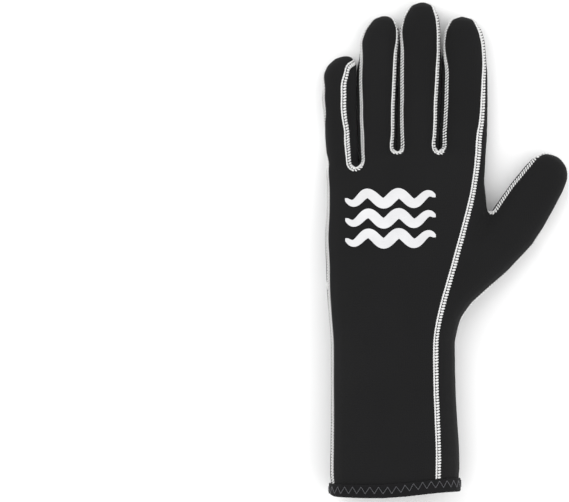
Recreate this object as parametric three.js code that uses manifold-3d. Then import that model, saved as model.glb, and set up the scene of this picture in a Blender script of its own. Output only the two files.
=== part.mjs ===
// A long-cuffed five-finger diving glove for the left hand, sewn from foam rubber sheet and lying palm down.
// Lengths are millimetres. +X points to the thumb's side, +Y to the fingertips and +Z up from the surface it lies on.
// The hollow shell is one loft for the hand and cuff, one for each finger and one for the thumb, joined and
// hollowed. It is then cut along its seams into the panels that the glove is sewn from.
import * as THREE from "three";
import { mergeVertices } from "three/addons/utils/BufferGeometryUtils.js";
import Module from "manifold-3d";

// The sheet, the seams and the binding of the cuff's edge
const wall = 3;
const seam_gap = 0.3;
const binding_width = 9;
const binding_sheet = 1;
const binding_pinch = 0.7;

// The cuff and the hand, from the cuff's edge at y 0
const cuff_length = 101;
const cuff_width = 82;
const cuff_height = 48;
const cuff_edge_rise = 4;
const wrist_width = 78;
const wrist_height = 43;
const wrist_shift = -1.2;
const hand_length = 118;
const thumb_web_height = 41;
const knuckle_height = 27.5;
const knuckle_shift = 6.3;
const little_web_drop = 10;
const web_round = 5;
const seam_below_web = 4;
const pressed_depth = 1.4;

// The fingers and the thumb. A finger's root, its middle, the whole of it and its tip each move sideways a little.
const finger_gap = 0.8;
const little = { length: 62.7, width: 22.8, root_width: 0.93, height: 20.5, root: 2, bow: -0.8, lean: 0.5, tip_lean: 3 };
const ring = { length: 82.8, width: 25.2, root_width: 0.92, height: 22.5, root: 0, bow: -0.5, lean: 0.6, tip_lean: 3 };
const middle = { length: 91.3, width: 26, root_width: 0.97, height: 23.5, root: -0.6, bow: -0.4, lean: -0.4, tip_lean: 1 };
const index = { length: 82.2, width: 27.3, root_width: 1.01, height: 24, root: -0.5, bow: 1, lean: -2.2, tip_lean: 0.4 };
const thumb_length = 54.5;
const thumb_width = 32;
const thumb_height = 24;
const thumb_angle = 34;
const thumb_root = { x: 29.7, y: 101 };
const thumb_web = { x: 72, y: 168 };

// Where the seams run, as lengths in from the outline that they follow
const back_seam_at_cuff = 13.5;
const back_seam_at_wrist = 12.4;
const wrist_seam_at_cuff = 20;
const thumb_seam_inset = 5.5;
const palm_seam_at_thumb_side = 4.2;
const tip_wall = 9;
const beyond = 5;
const overlap = 0.8;

// How finely the lofts are cut
const hand_sides = 24;
const finger_sides = 14;
const thumb_sides = 14;
const hand_steps = 12;
const finger_steps = 4;
const tip_steps = 3;
const least_detail = 0.02;
const hand_power = 2.35;
const finger_power = 2.1;
const web_steps = 2;

// The cuff, as shares of the way from its edge to the wrist. Width and height go from the wrist's, 0, to the edge's, 1.
const CUFF = [
  { at: 0.0, spread: 1.0, shift: 0.0 },
  { at: 0.3, spread: 0.72, shift: 0.0 },
  { at: 0.5, spread: 0.34, shift: 0.42 },
  { at: 0.7, spread: 0.08, shift: 0.83 },
  { at: 1.0, spread: 0.0, shift: 1.0 },
];

// The hand, as shares of the way from the wrist to the fingers' webs. Left and right go from the wrist's outline, 0,
// to the outer fingers', 1. Height goes from the wrist's to the thumb web's and then to the knuckles'.
const HAND = [
  { at: 0.0, left: 0.12, right: 0.05, swell: 0.0, fall: 0.0 },
  { at: 0.085, left: 0.18, right: 0.15, swell: 0.1, fall: 0.0 },
  { at: 0.17, left: 0.36, right: 0.27, swell: 0.35, fall: 0.0 },
  { at: 0.254, left: 0.5, right: 0.45, swell: 0.6, fall: 0.02 },
  { at: 0.339, left: 0.55, right: 0.68, swell: 0.85, fall: 0.05 },
  { at: 0.424, left: 0.61, right: 0.87, swell: 1.0, fall: 0.1 },
  { at: 0.508, left: 0.73, right: 1.0, swell: 1.0, fall: 0.19 },
  { at: 0.65, left: 0.55, right: 1.02, swell: 1.0, fall: 0.4 },
  { at: 0.746, left: 0.5, right: 0.92, swell: 1.0, fall: 0.58 },
  { at: 0.873, left: 0.44, right: 0.92, swell: 1.0, fall: 0.82 },
  { at: 1.0, left: 0.61, right: 0.98, swell: 1.0, fall: 1.0 },
];

// A finger, as shares of its length from its web to its tip. Width is a share of its own. Its height goes from the
// back of the hand's, 1, to its own, 0. Root is the share of its root's width and sideways move, tip of its tip's move.
const FINGER = [
  { at: -0.32, width: 0.74, blend: 0.9, root: 1.5, tip: 0.0 },
  { at: -0.14, width: 0.92, blend: 1.0, root: 1.2, tip: 0.0 },
  { at: 0.0, width: 1.0, blend: 0.9, root: 1.0, tip: 0.0 },
  { at: 0.2, width: 1.0, blend: 0.35, root: 0.95, tip: 0.0 },
  { at: 0.35, width: 1.0, blend: 0.15, root: 0.7, tip: 0.0 },
  { at: 0.5, width: 1.0, blend: 0.0, root: 0.2, tip: 0.0 },
  { at: 0.7, width: 0.985, blend: 0.0, root: 0.0, tip: 0.02 },
  { at: 0.82, width: 0.945, blend: 0.0, root: 0.0, tip: 0.14 },
  { at: 0.92, width: 0.93, blend: 0.0, root: 0.0, tip: 0.55 },
  { at: 1.0, width: 0.93, blend: 0.0, root: 0.0, tip: 1.0 },
];
const FINGER_TIP_START = 0.81;

// Where the seams run on a finger, as shares of its half width, from its web to its tip: on sides that face another
// finger, on the little finger's two sides and on the index finger's outer side. Over 1 is at mid height.
const BACK_SEAM = [
  { at: -0.1, between: 0.8, little_outer: 1.02, little_inner: 0.46, index_outer: 0.6 },
  { at: 0.0, between: 0.8, little_outer: 1.02, little_inner: 0.42, index_outer: 0.62 },
  { at: 0.25, between: 0.82, little_outer: 1.01, little_inner: 0.33, index_outer: 0.74 },
  { at: 0.5, between: 0.84, little_outer: 1.0, little_inner: 0.22, index_outer: 0.79 },
  { at: 0.72, between: 0.87, little_outer: 1.01, little_inner: 0.26, index_outer: 0.87 },
  { at: 0.86, between: 0.97, little_outer: 1.02, little_inner: 0.58, index_outer: 0.98 },
  { at: 0.94, between: 1.02, little_outer: 1.02, little_inner: 1.0, index_outer: 1.02 },
  { at: 1.06, between: 1.02, little_outer: 1.02, little_inner: 1.02, index_outer: 1.02 },
];
const PALM_SEAM = [
  { at: -0.1, between: 0.8, little_outer: 0.95, little_inner: 0.84, index_outer: 0.62 },
  { at: 0.0, between: 0.81, little_outer: 0.9, little_inner: 0.86, index_outer: 0.56 },
  { at: 0.25, between: 0.84, little_outer: 0.8, little_inner: 0.88, index_outer: 0.56 },
  { at: 0.5, between: 0.86, little_outer: 0.74, little_inner: 0.88, index_outer: 0.68 },
  { at: 0.75, between: 0.86, little_outer: 0.72, little_inner: 0.86, index_outer: 0.8 },
  { at: 1.0, between: 0.86, little_outer: 0.74, little_inner: 0.86, index_outer: 0.86 },
];

// The thumb's mound, from the thumb's root in the palm to its web, as shares of that way and of the thumb's width.
// Its top goes from the thumb's height, 0, to the wrist's, 1, and lift is the share of the palm's rise at its edge.
const MOUND = [
  { at: 0.0, out: 0.0, width: 0.42, height: 0.45, lift: 1.0 },
  { at: 0.17, out: -0.21, width: 0.7, height: 0.7, lift: 0.9 },
  { at: 0.34, out: -0.29, width: 0.87, height: 0.7, lift: 0.5 },
  { at: 0.53, out: -0.225, width: 0.97, height: 0.6, lift: 0.15 },
  { at: 0.75, out: -0.12, width: 1.08, height: 0.46, lift: 0.0 },
];
// The thumb itself, as shares of the way from its web to its tip
const THUMB = [
  { at: 0.0, out: 0.02, width: 1.05, height: 0.3, lift: 0.0 },
  { at: 0.22, out: 0.02, width: 1.035, height: 0.12, lift: 0.0 },
  { at: 0.45, out: 0.01, width: 0.99, height: 0.04, lift: 0.0 },
  { at: 0.7, out: 0.005, width: 0.905, height: 0.0, lift: 0.0 },
];

// The back seam on the thumb's side, from the cuff's edge to the wrist and on to the fingers, as shares of the way
// across from the seam's inset at the wrist, 0, to its place beside the index finger, 1
const BACK_SEAM_HAND = [
  { at: 0.0, across: 0.0 },
  { at: 0.17, across: 0.16 },
  { at: 0.34, across: 0.38 },
  { at: 0.51, across: 0.58 },
  { at: 0.68, across: 0.78 },
  { at: 0.85, across: 0.95 },
  { at: 1.0, across: 1.0 },
];

// The seam between palm and wrist, from the thumb's side to the little finger's: shares of the way across from the
// hand's outline to the seams' meeting point on the thumb, and of the hand's length from the wrist
const PALM_WRIST_SEAM = [
  { across: 0.94, at: 0.515 },
  { across: 0.87, at: 0.475 },
  { across: 0.79, at: 0.415 },
  { across: 0.71, at: 0.372 },
  { across: 0.62, at: 0.333 },
  { across: 0.52, at: 0.292 },
  { across: 0.42, at: 0.262 },
  { across: 0.3, at: 0.25 },
  { across: 0.18, at: 0.25 },
  { across: 0.0, at: 0.27 },
];

const wasm = await Module();
wasm.setup();

// Reads one column of a table at a share, on a smooth curve through its rows.
function read(table, column, at) {
  const last = table.length - 1;
  if (at <= table[0].at) return table[0][column];
  if (at >= table[last].at) return table[last][column];
  const i = table.findIndex((row) => row.at > at) - 1;
  const slope = (k) => {
    const a = table[Math.max(k - 1, 0)];
    const b = table[Math.min(k + 1, last)];
    return (b[column] - a[column]) / (b.at - a.at);
  };
  const [p, q] = [table[i], table[i + 1]];
  const span = q.at - p.at;
  const t = (at - p.at) / span;
  const [t2, t3] = [t * t, t * t * t];
  return (
    p[column] * (2 * t3 - 3 * t2 + 1) +
    slope(i) * span * (t3 - 2 * t2 + t) +
    q[column] * (3 * t2 - 2 * t3) +
    slope(i + 1) * span * (t3 - t2)
  );
}

const mix = THREE.MathUtils.lerp;
const ease = THREE.MathUtils.smoothstep;

// A closed body through rings of points, all alike in number, with a flat fan over each end.
function loft(rings) {
  const sides = rings[0].length;
  const points = rings.flat();
  const faces = [];
  for (let r = 0; r + 1 < rings.length; r++)
    for (let k = 0; k < sides; k++) {
      const [a, b] = [r * sides + k, r * sides + ((k + 1) % sides)];
      faces.push(a, b, b + sides, a, b + sides, a + sides);
    }
  for (const [first, turn] of [[0, 1], [points.length - sides, 0]]) {
    const middle_point = new THREE.Vector3();
    for (let k = 0; k < sides; k++) middle_point.addScaledVector(points[first + k], 1 / sides);
    const hub = points.push(middle_point) - 1;
    for (let k = 0; k < sides; k++) {
      const [a, b] = [first + k, first + ((k + 1) % sides)];
      faces.push(hub, turn ? b : a, turn ? a : b);
    }
  }
  return solid(new THREE.BufferGeometry().setFromPoints(points).setIndex(faces));
}

// A closed geometry as a solid for joining and cutting, with its faces turned outwards.
function solid(geometry) {
  const bare = new THREE.BufferGeometry().setAttribute("position", geometry.getAttribute("position"));
  const merged = mergeVertices(bare.setIndex(geometry.index), 1e-4);
  const triVerts = new Uint32Array(merged.index.array);
  const make = () =>
    new wasm.Manifold(
      new wasm.Mesh({ numProp: 3, vertProperties: merged.attributes.position.array, triVerts }),
    );
  const made = make();
  if (made.volume() > 0) return made;
  for (let i = 0; i < triVerts.length; i += 3) [triVerts[i], triVerts[i + 1]] = [triVerts[i + 1], triVerts[i]];
  return make();
}

// An upright prism over an outline in x and y.
function prism(outline, low, high) {
  const shape = new THREE.Shape(outline.map(([x, y]) => new THREE.Vector2(x, y)));
  const made = new THREE.ExtrudeGeometry(shape, { depth: high - low, bevelEnabled: false });
  return solid(made.translate(0, 0, low));
}

// An outline that runs anticlockwise, with each of its sides moved outwards by a small distance.
function grown(outline, distance) {
  const normal = (a, b) => {
    const length = Math.hypot(b[0] - a[0], b[1] - a[1]);
    return [(b[1] - a[1]) / length, (a[0] - b[0]) / length];
  };
  return outline.map((p, i) => {
    const [before, after] = [normal(outline.at(i - 1), p), normal(p, outline[(i + 1) % outline.length])];
    const turn = Math.max(1 + before[0] * after[0] + before[1] * after[1], 0.25);
    return p.map((value, k) => value + ((before[k] + after[k]) * distance) / turn);
  });
}

// The points of a rounded section: half width, half height, and the level that its underside is pressed flat at.
function section(half_width, half_height, centre, floor, power, sides) {
  return Array.from({ length: sides }, (_, k) => {
    const angle = (2 * Math.PI * (k + 0.5)) / sides;
    const [c, s] = [Math.cos(angle), Math.sin(angle)];
    const across = half_width * Math.sign(c) * Math.abs(c) ** (2 / power);
    const up = centre + half_height * Math.sign(s) * Math.abs(s) ** (2 / power);
    return [across, Math.max(up, floor)];
  });
}

// The four fingers, each with the place of its centre line, its web and its sides' kinds
const fingers = [little, ring, middle, index];
const block_width = fingers.reduce((sum, f) => sum + f.width, 0) + 3 * finger_gap;
const block_left = knuckle_shift - block_width / 2;
const block_right = knuckle_shift + block_width / 2;
const web_y = cuff_length + hand_length;
let next_left = block_left;
fingers.forEach((finger, i) => {
  finger.x = next_left + finger.width / 2;
  finger.web = web_y - (finger === little ? little_web_drop / 2 : 0);
  finger.left_kind = i === 0 ? "little_outer" : "between";
  finger.right_kind = i === 3 ? "index_outer" : i === 0 ? "little_inner" : "between";
  next_left += finger.width + finger_gap;
});
const little_web_x = (little.x + little.width / 2 + ring.x - ring.width / 2) / 2;
const ring_web_x = (ring.x + ring.width / 2 + middle.x - middle.width / 2) / 2;

// How far the webs' line drops towards the little finger, at a place across the hand.
const web_drop = (x) => little_web_drop * (1 - ease(x, little_web_x, ring_web_x));

// The hand's outline and heights at a distance from the cuff's edge.
const binding_reach = binding_sheet + seam_gap;
function hand_at(y) {
  const [wrist_left, wrist_right] = [wrist_shift - wrist_width / 2, wrist_shift + wrist_width / 2];
  const lift = binding_reach * (1 - ease(y, binding_width * 1.2, cuff_length * 0.29));
  const pinch = binding_pinch * (1 - ease(y, binding_width, binding_width * 1.67));
  let left, right, height;
  if (y < cuff_length) {
    const at = Math.max(y, 0) / cuff_length;
    const spread = read(CUFF, "spread", at);
    const centre = wrist_shift * read(CUFF, "shift", at);
    const width = mix(wrist_width, cuff_width, spread);
    [left, right] = [centre - width / 2, centre + width / 2];
    height = mix(wrist_height, cuff_height, spread);
  } else {
    const at = (y - cuff_length) / hand_length;
    left = mix(wrist_left, block_left, read(HAND, "left", at));
    right = mix(wrist_right, block_right, read(HAND, "right", at));
    const swollen = mix(wrist_height, thumb_web_height, read(HAND, "swell", at));
    height = mix(swollen, knuckle_height, read(HAND, "fall", at));
  }
  const low = lift - pressed_depth;
  return { left: left + pinch, right: right - pinch, floor: lift, low, high: low + height - pinch };
}
const mid_at = (y) => {
  const hand = hand_at(Math.min(y, web_y));
  return (hand.low + hand.high) / 2;
};
// The height of the back of the hand, 1, or of the palm, -1, at a place across it and along it.
function hand_height(x, y, side) {
  const hand = hand_at(Math.min(y, web_y));
  const across = Math.abs(x - (hand.left + hand.right) / 2) / ((hand.right - hand.left) / 2);
  const share = (1 - Math.min(across, 1) ** hand_power) ** (1 / hand_power);
  return (hand.low + hand.high) / 2 + side * ((hand.high - hand.low) / 2) * share;
}

// How far the cuff's edge curves up towards the thumb's side, at a place across from its middle; it fades out above.
const cuff_rise = (x, y) =>
  cuff_edge_rise * ease(x, -cuff_width / 8, cuff_width / 2) * (1 - ease(y, binding_width, cuff_length * 0.5));

// One ring of the hand's loft, moved outwards by a distance, with its width and height shrunk to shares at the end.
function hand_ring(y, out, shrink_width = 1, shrink_height = 1) {
  const hand = hand_at(Math.min(y, web_y));
  const centre_x = (hand.left + hand.right) / 2;
  const half_width = ((hand.right - hand.left) / 2 + out) * shrink_width;
  const half_height = ((hand.high - hand.low) / 2 + out) * shrink_height;
  const at = THREE.MathUtils.clamp((y - cuff_length) / hand_length, 0, 1);
  const points = section(half_width, half_height, (hand.low + hand.high) / 2, hand.floor - out, hand_power, hand_sides);
  return points.map(([x, z]) => {
    const rise = cuff_rise(x, y);
    return new THREE.Vector3(centre_x + x, y + rise - web_drop(centre_x + x) * at ** 3, z);
  });
}

// The hand and cuff as one body, whose end at the fingers' webs is rounded over.
function hand_body(out, start) {
  const body_end = web_y - web_round;
  const even_from = binding_width * 1.67;
  const rings = [start, binding_width].map((y) => hand_ring(y, out));
  for (let i = 0; i <= hand_steps; i++) rings.push(hand_ring(mix(even_from, body_end, i / hand_steps), out));
  for (let i = 1; i <= web_steps; i++) {
    const angle = (i / web_steps) * THREE.MathUtils.degToRad(84);
    const shrink = Math.cos(angle) ** 0.7;
    rings.push(hand_ring(body_end + (web_round + out) * Math.sin(angle), out, mix(1, shrink, 0.12), shrink));
  }
  return loft(rings);
}

// A finger's section at a share of its length: its centre, half width, half height and mid height.
function finger_at(finger, at) {
  const y = finger.web + finger.length * at;
  const blend = read(FINGER, "blend", at);
  const own_top = finger.height - pressed_depth;
  const top = mix(own_top, Math.max(hand_height(finger.x, finger.web, 1), own_top), blend);
  const low = mix(-pressed_depth, hand_height(finger.x, finger.web, -1), blend);
  const along = THREE.MathUtils.clamp(at, 0, 1);
  const root = read(FINGER, "root", at);
  const bend = finger.bow * 4 * along * (1 - along) + finger.lean * along ** 2;
  return {
    y,
    x: finger.x + bend + finger.root * root + finger.tip_lean * read(FINGER, "tip", at),
    a: (finger.width / 2) * read(FINGER, "width", at) * mix(1, finger.root_width, Math.min(root, 1)),
    b: (top - low) / 2,
    mid: (top + low) / 2,
  };
}

// One finger as a body, with a rounded tip.
function finger_body(finger, out) {
  const rings = [];
  const add = (at, along, shrink) => {
    const f = finger_at(finger, at);
    const points = section((f.a + out) * shrink, (f.b + out) * shrink, f.mid, -out, finger_power, finger_sides);
    rings.push(points.map(([x, z]) => new THREE.Vector3(f.x + x, f.y + along, z)));
  };
  add(FINGER[0].at, 0, 1);
  for (let i = 0; i <= finger_steps; i++) add(mix(FINGER[1].at, FINGER_TIP_START, i / finger_steps), 0, 1);
  const reach = finger.length * (1 - FINGER_TIP_START);
  for (let i = 1; i <= tip_steps; i++) {
    const angle = (i / tip_steps) * THREE.MathUtils.degToRad(85);
    const along = (reach + out) * Math.sin(angle);
    const share = FINGER_TIP_START + along / finger.length;
    add(share, 0, Math.cos(angle) ** 0.88);
  }
  return loft(rings);
}

// The thumb's centre line: through its mound in the palm, past its web, and straight to its tip.
const thumb_way = new THREE.Vector2(thumb_web.x - thumb_root.x, thumb_web.y - thumb_root.y);
const thumb_turn = THREE.MathUtils.degToRad(thumb_angle);
const thumb_along = new THREE.Vector2(Math.sin(thumb_turn), Math.cos(thumb_turn));
const mound_out = new THREE.Vector2(thumb_way.y, -thumb_way.x).normalize();
const thumb_stations = [
  ...MOUND.map((row) => ({
    x: thumb_root.x + thumb_way.x * row.at + mound_out.x * row.out * thumb_width,
    y: thumb_root.y + thumb_way.y * row.at + mound_out.y * row.out * thumb_width,
    ...row,
  })),
  ...THUMB.map((row) => ({
    x: thumb_web.x + thumb_along.x * thumb_length * row.at + thumb_along.y * row.out * thumb_width,
    y: thumb_web.y + thumb_along.y * thumb_length * row.at - thumb_along.x * row.out * thumb_width,
    ...row,
  })),
].map((row, i, rows) => {
  const [a, b] = [rows[Math.max(i - 1, 0)], rows[Math.min(i + 1, rows.length - 1)]];
  return { ...row, way: new THREE.Vector2(b.x - a.x, b.y - a.y), web: i >= MOUND.length };
});
for (const station of thumb_stations) {
  station.way = station.web ? thumb_along : station.way.normalize();
  station.side = new THREE.Vector2(station.way.y, -station.way.x);
  station.a = (thumb_width * station.width) / 2;
  const top = mix(thumb_height, wrist_height, station.height) - pressed_depth;
  const low = mix(-pressed_depth, hand_height(station.x, station.y, -1), station.lift);
  station.b = (top - low) / 2;
  station.mid = (top + low) / 2;
}

// The thumb and its mound as one body, with a rounded tip.
function thumb_body(out) {
  const ring_at = (s, along, shrink) => {
    const points = section((s.a + out) * shrink, (s.b + out) * shrink, s.mid, -out, finger_power, thumb_sides);
    const [x, y] = [s.x + s.way.x * along, s.y + s.way.y * along];
    return points.map(([across, z]) => new THREE.Vector3(x + s.side.x * across, y + s.side.y * across, z));
  };
  const rings = thumb_stations.map((s) => ring_at(s, 0, 1));
  const last = thumb_stations.at(-1);
  const reach = thumb_length * (1 - last.at);
  for (let i = 1; i <= tip_steps; i++) {
    const angle = (i / tip_steps) * THREE.MathUtils.degToRad(85);
    rings.push(ring_at(last, (reach + out) * Math.sin(angle), Math.cos(angle) ** 0.92));
  }
  return loft(rings);
}

// The surface that parts the glove's upper side from its lower one where a seam follows the outline: the hand's mid
// height, and outside the hand the thumb's. The block above or below it is moved up by a distance.
const tall = 90;
function half_space(upper, move) {
  const far = 2 * (block_width + thumb_length);
  const end = upper ? tall : -tall;
  const mound_end = thumb_stations[MOUND.length];
  const rows = 8;
  const rings = [];
  for (let i = 0; i <= rows; i++) {
    const y = mix(-beyond, web_y + middle.length + 2 * beyond, i / rows);
    const own = mid_at(y);
    const thumbs = mix(own, mound_end.mid, ease(y, cuff_length, mound_end.y));
    const edge = hand_at(Math.min(Math.max(y, 0), web_y)).right;
    const points = [[-far, own], [edge - wall * 4, own], [edge + wall, thumbs], [far, thumbs], [far, end], [-far, end]];
    rings.push(points.map(([x, z]) => new THREE.Vector3(x, y, z === end ? z : z + move)));
  }
  return loft(rings);
}

// How far to one side of a finger's centre line the middle of the gap to its neighbour lies.
function between(finger, neighbour, y) {
  const f = finger_at(finger, Math.min((y - finger.web) / finger.length, 1));
  if (!fingers[neighbour]) return f.a + beyond;
  const other = fingers[neighbour];
  const n = finger_at(other, Math.min((y - other.web) / other.length, 1));
  return (f.a + Math.abs(n.x - f.x) - n.a) / 2;
}

// The rounded notch that the seams run round, between a finger and the next, below their web.
const seam_top = web_y - seam_below_web + 3;
const little_seam_top = little.web - little_web_drop / 2;
function notch(i, table) {
  const [a, b] = [fingers[i], fingers[i + 1]].map((finger) => finger_at(finger, 0));
  const left = a.x + a.a * read(table, fingers[i].right_kind, 0);
  const right = b.x - b.a * read(table, "between", 0);
  const [x, radius] = [(left + right) / 2, (right - left) / 2];
  return { x, radius, y: web_y - web_drop(x) - seam_below_web + radius };
}

// The seams' line across the hand from the index finger to the little one, with a notch between each two fingers.
const notches = (table) =>
  [2, 1, 0].flatMap((i) => {
    const { x, y, radius } = notch(i, table);
    return [0, 1, 2, 3, 4].map((k) => [
      x + radius * Math.cos((k * Math.PI) / 4),
      y - radius * Math.sin((k * Math.PI) / 4),
    ]);
  });

// The wedge from a finger's centre line out through its two seams, above it or below it, with its faces moved inwards
// by a distance. The lower one closes in an arc short of the fingertip.
function finger_wedge(finger, upper, move) {
  const table = upper ? BACK_SEAM : PALM_SEAM;
  const sign = upper ? 1 : -1;
  const i = fingers.indexOf(finger);
  const left_start = i > 0 ? notch(i - 1, table).y : little_seam_top;
  const right_start = i < 3 ? notch(i, table).y : seam_top;
  const start = ((left_start + right_start) / 2 - overlap - finger.web) / finger.length;
  const end = upper ? 1 + beyond / finger.length : 1 - tip_wall / finger.length;
  const arc_from = end - (finger.width * 0.43) / finger.length;
  const rows = [start, ...table.slice(1).map((row) => row.at).filter((at) => at < (upper ? end : arc_from)), end];
  if (!upper) rows.splice(-1, 0, arc_from, ...[0.5, 0.8, 0.95].map((share) => mix(arc_from, end, share)));
  const rings = rows.map((at, r) => {
    const f = finger_at(finger, Math.min(at, 1));
    const arc = upper ? 0 : Math.max((at - arc_from) / (end - arc_from), 0);
    const closing = Math.sqrt(Math.max(1 - arc * arc, 0.001));
    const y = finger.web + finger.length * at + (r === 0 ? move : -move * arc);
    const edge = (kind, direction) => {
      const share = Math.min(read(table, kind, at), 1) * closing;
      const slope = Math.max(((f.b / f.a) * Math.sqrt(Math.max(1 - share * share, 0))) / share, 0.01);
      const shift = move * Math.hypot(1, slope);
      const reach = Math.min(between(finger, i + direction, y) - move, (f.b + beyond) / slope);
      return { slope, shift, x: direction * reach, z: reach * slope + shift };
    };
    const [left, right] = [edge(finger.left_kind, -1), edge(finger.right_kind, 1)];
    const hub = (left.shift - right.shift) / (left.slope + right.slope);
    const top = 2 * f.b + tall / 3;
    const points = [
      [hub, hub * right.slope + right.shift],
      [right.x, right.z],
      [right.x, top],
      [left.x, top],
      [left.x, left.z],
    ];
    const slant = r > 0 ? 0 : (right_start - left_start) / (right.x - left.x);
    const halfway = (left.x + right.x) / 2;
    return points.map(([x, z]) => new THREE.Vector3(f.x + x, y + slant * (x - halfway), f.mid + sign * z));
  });
  return loft(rings);
}

// The back panel's outline over the hand, anticlockwise from the cuff's edge on the little finger's side.
function back_outline() {
  const line = [[block_left - 2 * beyond, -beyond]];
  line.push([cuff_width / 2 - back_seam_at_cuff, -beyond]);
  for (const row of CUFF.slice(0, -1)) {
    const hand = hand_at(row.at * cuff_length);
    line.push([hand.right - mix(back_seam_at_wrist, back_seam_at_cuff, row.spread), row.at * cuff_length]);
  }
  const from_x = wrist_shift + wrist_width / 2 - back_seam_at_wrist;
  const index_base = finger_at(index, 0);
  const to_x = index_base.x + index_base.a * read(BACK_SEAM, "index_outer", 0);
  for (const row of BACK_SEAM_HAND) line.push([mix(from_x, to_x, row.across), mix(cuff_length, seam_top, row.at)]);
  line.push(...notches(BACK_SEAM));
  line.push([block_left - 2 * beyond, little_seam_top]);
  return line;
}

// The seam between the palm and the wrist, from its meeting point on the thumb's outer side to the little finger's.
const on_thumb = (s, side, forward) => [
  s.x + s.side.x * side + s.way.x * forward,
  s.y + s.side.y * side + s.way.y * forward,
];
const [mound_top, thumb_base, thumb_middle] = thumb_stations.slice(MOUND.length - 1);
const seams_meet = on_thumb(thumb_base, thumb_base.a - thumb_seam_inset * 0.65, thumb_length * 0.17);
function palm_wrist_line() {
  const from = hand_at(cuff_length + hand_length * 0.27).left;
  const line = PALM_WRIST_SEAM.map((row) => [mix(from, seams_meet[0], row.across), cuff_length + hand_length * row.at]);
  return [seams_meet, ...line];
}

// The palm panel's outline, anticlockwise from the wrist seam on the little finger's side: along that seam, up the
// thumb's outer side, round past its tip, down past its inner side, and up beside the index finger to the webs.
function palm_outline() {
  const line = palm_wrist_line().reverse();
  line.unshift([line[0][0] - 2 * beyond, line[0][1]]);
  const last = thumb_stations.at(-1);
  line.push(on_thumb(thumb_middle, thumb_middle.a - thumb_seam_inset, 0));
  const reach = thumb_length * (1 - last.at) + beyond;
  line.push(on_thumb(last, last.a - thumb_seam_inset, 0));
  line.push(on_thumb(last, last.a - thumb_seam_inset * 0.4, reach * 0.3));
  line.push(on_thumb(last, last.a * 0.9, reach * 0.7));
  line.push(on_thumb(last, last.a * 0.5, reach));
  line.push(on_thumb(last, -last.a - beyond * 0.4, reach * 0.8));
  line.push(on_thumb(last, -last.a - beyond, 0), on_thumb(thumb_middle, -thumb_middle.a - beyond, 0));
  const index_base = finger_at(index, 0);
  const seam_x = index_base.x + index_base.a * read(PALM_SEAM, "index_outer", 0);
  const beside_web = (inset, share) => [web_x - palm_seam_at_thumb_side * inset, thumb_web.y + thumb_width * share];
  const web_x = hand_at(thumb_web.y + thumb_width * 0.31).right;
  line.push(beside_web(-0.25, 0.34), beside_web(0.6, 0.5), beside_web(1, 0.72), [seam_x, seam_top]);
  line.push(...notches(PALM_SEAM));
  line.push([block_left - 2 * beyond, little_seam_top]);
  return line;
}

// The wrist panel's outline, anticlockwise from the cuff's edge on the little finger's side.
function wrist_outline() {
  const line = [[block_left - 2 * beyond, -beyond], [cuff_width / 2 - wrist_seam_at_cuff, -beyond]];
  const inset = (at, share) => {
    const y = cuff_length * at;
    line.push([hand_at(y).right - wrist_seam_at_cuff * share, y]);
  };
  inset(0.3, 0.85);
  inset(0.6, 0.66);
  inset(0.85, 0.48);
  const root = thumb_stations[1];
  line.push(on_thumb(root, root.a - 2, 0));
  for (const s of thumb_stations.slice(2, MOUND.length)) line.push(on_thumb(s, s.a + beyond, 0));
  line.push(on_thumb(thumb_base, thumb_base.a + beyond, thumb_length * 0.1), ...palm_wrist_line());
  line.push([line.at(-1)[0] - 2 * beyond, line.at(-1)[1]]);
  return line;
}

// The shell: the outer form less the inner one, which is open at the cuff's edge.
const join = (parts) => parts.reduce((all, part) => all.add(part));
const form = (out, start) =>
  join([hand_body(out, start), thumb_body(out), ...fingers.map((finger) => finger_body(finger, out))]);
const shell = form(0, binding_reach).subtract(form(-wall, -beyond)).simplify(least_detail);

// A panel is what its region holds of the shell, and the next panels get what is left past the seam's gap.
const half_gap = seam_gap / 2;
const region = (outline, upper, move, wedges) => {
  const block = prism(grown(outline, -move), upper ? -tall / 6 : -tall, upper ? tall : tall / 2);
  const over_hand = block.intersect(half_space(upper, upper ? move : -move));
  return wedges ? join([over_hand, ...fingers.map((finger) => finger_wedge(finger, upper, move))]) : over_hand;
};
const largest = (made) => made.decompose().sort((a, b) => b.volume() - a.volume())[0];
const cut_from = (rest, outline, upper, wedges) => [
  largest(rest.intersect(region(outline, upper, half_gap, wedges))),
  rest.subtract(region(outline, upper, -half_gap, wedges)),
];
const [back_panel, after_back] = cut_from(shell, back_outline(), true, true);
const [palm_panel, after_palm] = cut_from(after_back, palm_outline(), false, true);
const [wrist_panel, walls] = cut_from(after_palm, wrist_outline(), false, false);

// The walls round the fingers, parted at each fingertip, where one strip ends on the next.
const tip_cuts = fingers.map((finger) => {
  const tip = finger_at(finger, 1);
  const low = finger.web + finger.length * 0.7;
  return prism(
    [[tip.x - half_gap, low], [tip.x + half_gap, low], [tip.x + half_gap, tip.y + beyond], [tip.x - half_gap, tip.y + beyond]],
    -tall,
    tall,
  );
});
const middle_x = (made) => {
  const box = made.boundingBox();
  return (box.min[0] + box.max[0]) / 2;
};
const strips = walls
  .subtract(join(tip_cuts))
  .decompose()
  .sort((a, b) => b.volume() - a.volume())
  .slice(0, 5)
  .sort((a, b) => middle_x(a) - middle_x(b));

// The binding of the cuff's edge: a folded strip whose channel holds the panels' edges.
function sleeve(out, from, to) {
  const rings = [hand_ring(from, out), hand_ring(binding_width, out)];
  if (to > binding_width)
    rings.push(rings[1].map((p) => new THREE.Vector3(p.x, p.y + to - binding_width, p.z)));
  return loft(rings);
}
const fold = binding_sheet;
const cuff_binding = sleeve(binding_reach, 0, binding_width)
  .subtract(sleeve(-wall - binding_reach, -1, binding_width + 1))
  .subtract(sleeve(seam_gap, fold, binding_width + 2).subtract(sleeve(-wall - seam_gap, 0, binding_width + 3)));

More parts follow.
